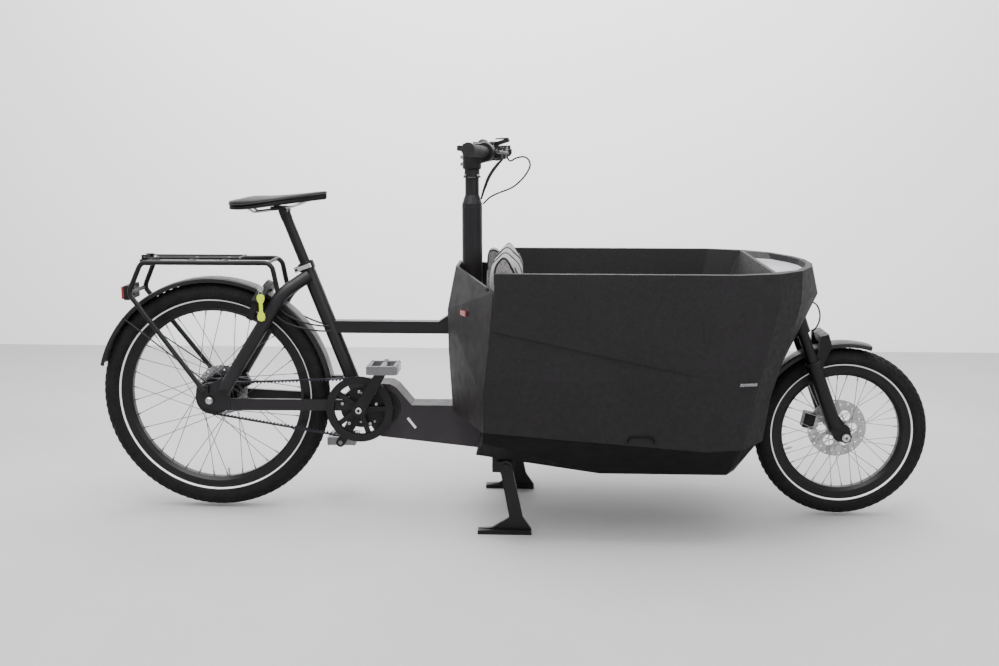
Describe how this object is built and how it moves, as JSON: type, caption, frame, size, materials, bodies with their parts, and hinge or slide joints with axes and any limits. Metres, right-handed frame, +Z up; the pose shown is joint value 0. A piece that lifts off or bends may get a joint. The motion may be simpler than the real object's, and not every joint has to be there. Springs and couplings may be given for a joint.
{
  "type": "cargo bicycle",
  "caption": "Long front-loading cargo bicycle with a deep faceted box, padded passenger bench, low beam frame, centre stand and rear rack.",
  "frame": {"origin": "centre of the footprint on the floor, with both wheels held clear of it by the stand", "axes": "+X forward along the length, +Y to the rider's left, +Z up"},
  "size_m": [2.5464, 0.69, 1.1537],
  "materials": {
    "frame_paint": "satin powder coat",
    "beam_paint": "satin powder coat",
    "box_foam": "fine matt grain",
    "tray_plastic": "coarse matt grain",
    "cover_plastic": "fine matt grain",
    "ledge_plastic": "fine matt grain",
    "bench_wood": "matt",
    "pad_fabric": "woven melange",
    "reflector": "prismatic",
    "black_metal": "satin",
    "black_plastic": "matt",
    "lamp": "gloss",
    "motor_case": "matt cast",
    "steel": "brushed",
    "alloy": "satin",
    "tyre_rubber": "matt",
    "rubber": "matt",
    "saddle_skin": "fine grain"
  },
  "bodies": {
    "frame": {"main_beam": "beam_paint", "seat_tube": "frame_paint", "top_tube": "frame_paint", "seat_stays": "frame_paint", "chain_stays": "frame_paint", "column_tube": "frame_paint", "fork_mast": "frame_paint", "stand_mount": "black_metal", "motor_unit": "motor_case", "box_shell": "box_foam", "box_tray": "tray_plastic", "rear_cover": "cover_plastic", "box_reflectors": "reflector", "front_ledge": "ledge_plastic", "bench": "bench_wood", "seat_pads": "pad_fabric", "rack": "black_metal", "tail_lamp": "lamp", "rear_fender": "black_plastic", "ring_lock": "black_plastic", "rear_axle": "steel", "rear_caliper": "black_metal", "belt": "rubber", "seat_collar": "black_metal", "frame_hoses": "rubber", "steering_cables": "rubber", "front_hose": "rubber"},
    "bars": {"steerer": "frame_paint", "stem": "black_metal", "handlebar": "black_metal", "grips": "rubber", "bar_controls": "black_plastic", "bar_hoses": "rubber"},
    "brake_lever_right": {"brake_lever_right": "alloy"},
    "brake_lever_left": {"brake_lever_left": "alloy"},
    "fork": {"fork_crown": "black_metal"},
    "lowers": {"fork_lowers": "black_metal", "front_fender": "black_plastic", "front_axle": "steel", "front_caliper": "black_metal"},
    "front_wheel": {"front_tyre": "tyre_rubber", "front_rim": "black_metal", "front_spokes": "steel", "front_hub": "alloy", "front_disc": "steel"},
    "rear_wheel": {"rear_tyre": "tyre_rubber", "rear_rim": "black_metal", "rear_spokes": "steel", "rear_hub": "alloy", "rear_disc": "steel"},
    "rear_pulley": {"rear_pulley": "black_metal"},
    "crank": {"crank_set": "black_metal", "front_pulley": "black_metal"},
    "pedal_right": {"pedal_right": "black_plastic"},
    "pedal_left": {"pedal_left": "black_plastic"},
    "stand": {"stand_legs": "black_metal"},
    "seat": {"seat_post": "black_metal", "saddle": "saddle_skin"},
    "rack_clip": {"rack_clip": "black_metal"},
    "seat_lever": {"seat_lever": "alloy"}
  },
  "joints": [
    {"name": "fork_steer", "type": "hinge", "parent": "frame", "child": "fork", "pos_m": [0.97405, 0, 0.25038], "axis": [-0.3551, 0, 0.9348], "range_deg": [-45, 45], "deforming": ["front_hose"]},
    {"name": "bar_steer", "type": "hinge", "parent": "frame", "child": "bars", "pos_m": [-0.11282, 0, 1], "axis": [0, 0, 1], "range_deg": [-45, 45]},
    {"name": "fork_travel", "type": "slide", "parent": "fork", "child": "lowers", "axis": [-0.3551, 0, 0.9348], "range_m": [0, 0.04], "stiffness_N_per_m": 9000, "springref_m": -0.012},
    {"name": "front_spin", "type": "hinge", "parent": "lowers", "child": "front_wheel", "pos_m": [1.01518, 0, 0.266], "axis": [0, 1, 0], "continuous": true},
    {"name": "rear_spin", "type": "hinge", "parent": "frame", "child": "rear_wheel", "pos_m": [-0.91482, 0, 0.362], "axis": [0, 1, 0], "continuous": true},
    {"name": "crank_spin", "type": "hinge", "parent": "frame", "child": "crank", "pos_m": [-0.45682, 0, 0.334], "axis": [0, 1, 0], "continuous": true},
    {"name": "pulley_spin", "type": "hinge", "parent": "frame", "child": "rear_pulley", "pos_m": [-0.91482, -0.056, 0.362], "axis": [0, 1, 0], "continuous": true},
    {"name": "pedal_right_spin", "type": "hinge", "parent": "crank", "child": "pedal_right", "pos_m": [-0.36926, -0.13, 0.47972], "axis": [0, 1, 0], "continuous": true},
    {"name": "pedal_left_spin", "type": "hinge", "parent": "crank", "child": "pedal_left", "pos_m": [-0.54438, 0.13, 0.18828], "axis": [0, 1, 0], "continuous": true},
    {"name": "stand_fold", "type": "hinge", "parent": "frame", "child": "stand", "pos_m": [-0.00182, 0, 0.204], "axis": [0, 1, 0], "range_deg": [0, 95]},
    {"name": "seat_height", "type": "slide", "parent": "frame", "child": "seat", "axis": [-0.3551, 0, 0.9348], "range_m": [-0.1, 0.06]},
    {"name": "seat_lever_turn", "type": "hinge", "parent": "frame", "child": "seat_lever", "pos_m": [-0.65017, -0.02, 0.75571], "axis": [0.3551, 0, -0.9348], "range_deg": [0, 150]},
    {"name": "rack_clip_lift", "type": "hinge", "parent": "frame", "child": "rack_clip", "pos_m": [-1.11182, 0, 0.794], "axis": [0, -1, 0], "range_deg": [0, 90], "stiffness_Nm_per_rad": 0.4, "springref_deg": -28.65},
    {"name": "brake_right_pull", "type": "hinge", "parent": "bars", "child": "brake_lever_right", "pos_m": [-0.03137, -0.15291, 1.11173], "axis": [-0.0196, -0.0728, -0.9972], "range_deg": [0, 12], "stiffness_Nm_per_rad": 0.6, "springref_deg": -5.73},
    {"name": "brake_left_pull", "type": "hinge", "parent": "bars", "child": "brake_lever_left", "pos_m": [-0.03137, 0.15291, 1.11173], "axis": [0.0196, -0.0728, 0.9972], "range_deg": [0, 12], "stiffness_Nm_per_rad": 0.6, "springref_deg": -5.73}
  ],
  "couplings": [
    {"joint": "bar_steer", "follows": "fork_steer", "ratio": 1},
    {"joint": "pulley_spin", "follows": "crank_spin", "ratio": 2}
  ]
}
